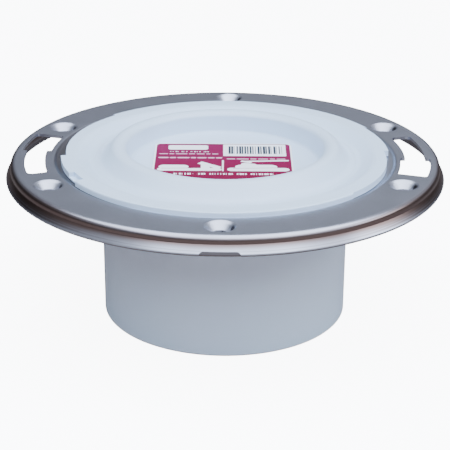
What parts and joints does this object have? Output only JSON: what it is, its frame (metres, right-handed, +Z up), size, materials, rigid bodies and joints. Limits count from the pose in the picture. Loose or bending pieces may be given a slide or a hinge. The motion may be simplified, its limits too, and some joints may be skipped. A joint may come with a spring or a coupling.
{
  "type": "toilet flange",
  "caption": "White PVC closet flange for a 4 in or 3 in drain pipe, with a turning stainless steel bolt ring and a knock-out test cap in its mouth",
  "frame": {"origin": "centre of the hub's bottom end, where it stands on the floor of the bounding box", "axes": "Z up along the pipe axis out of the floor; X through the mouths and runs of the two bolt slots, to the right as seen from the front; Y to the back, away from the ring's small relief notch"},
  "size_m": [0.1778, 0.1778, 0.0718],
  "materials": {
    "pvc": "moulded rigid PVC with a soft satin sheen",
    "stainless": "pressed stainless sheet, satin on the flat and bright on the rolled bead",
    "label": null
  },
  "bodies": {
    "hub": {"flange_body": "pvc"},
    "ring": {"swivel_ring": "stainless"},
    "cap": {"knockout_cap": "pvc", "cap_label": "label"}
  },
  "joints": [
    {"name": "ring_swivel", "type": "hinge", "parent": "hub", "child": "ring", "pos_m": [0, 0, 0.0655], "axis": [0, 0, 1], "continuous": true},
    {"name": "cap_lift", "type": "slide", "parent": "hub", "child": "cap", "axis": [0, 0, 1], "range_m": [0, 0.06]}
  ]
}
